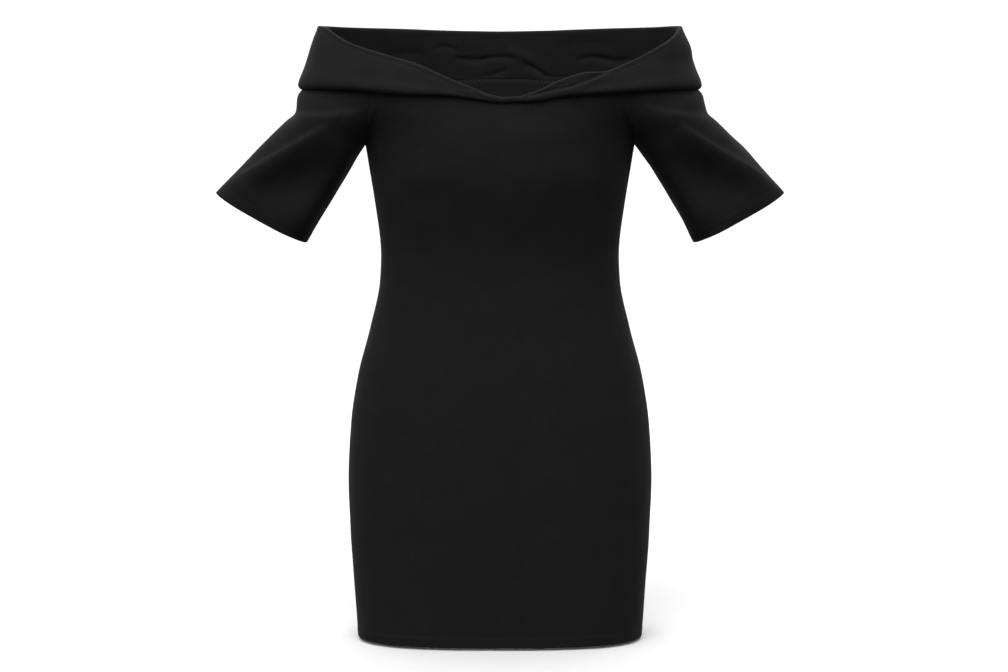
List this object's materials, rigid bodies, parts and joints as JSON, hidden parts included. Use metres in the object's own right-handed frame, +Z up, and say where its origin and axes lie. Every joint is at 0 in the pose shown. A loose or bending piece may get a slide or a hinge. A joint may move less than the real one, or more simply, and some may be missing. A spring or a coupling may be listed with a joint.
{
  "type": "off-the-shoulder sheath mini dress",
  "caption": "Close-fitting knit mini dress with an off-the-shoulder neckline, a fold-over collar and short flared sleeves, filled out as worn",
  "frame": {"origin": "on the wearer's centre line, level with the neckline seam at the shoulders", "axes": "+Z up, -Y the front of the dress, +X at the viewer's right when the front is seen"},
  "size_m": [0.66, 0.2425, 0.712],
  "materials": {
    "knit": "matte black double knit, smooth, with a faint lighter bloom at grazing angles"
  },
  "bodies": {
    "root": {"front_panel": "knit", "back_panel": "knit", "sleeve_left": "knit", "sleeve_right": "knit", "collar_front": "knit", "collar_back": "knit"}
  },
  "joints": []
}
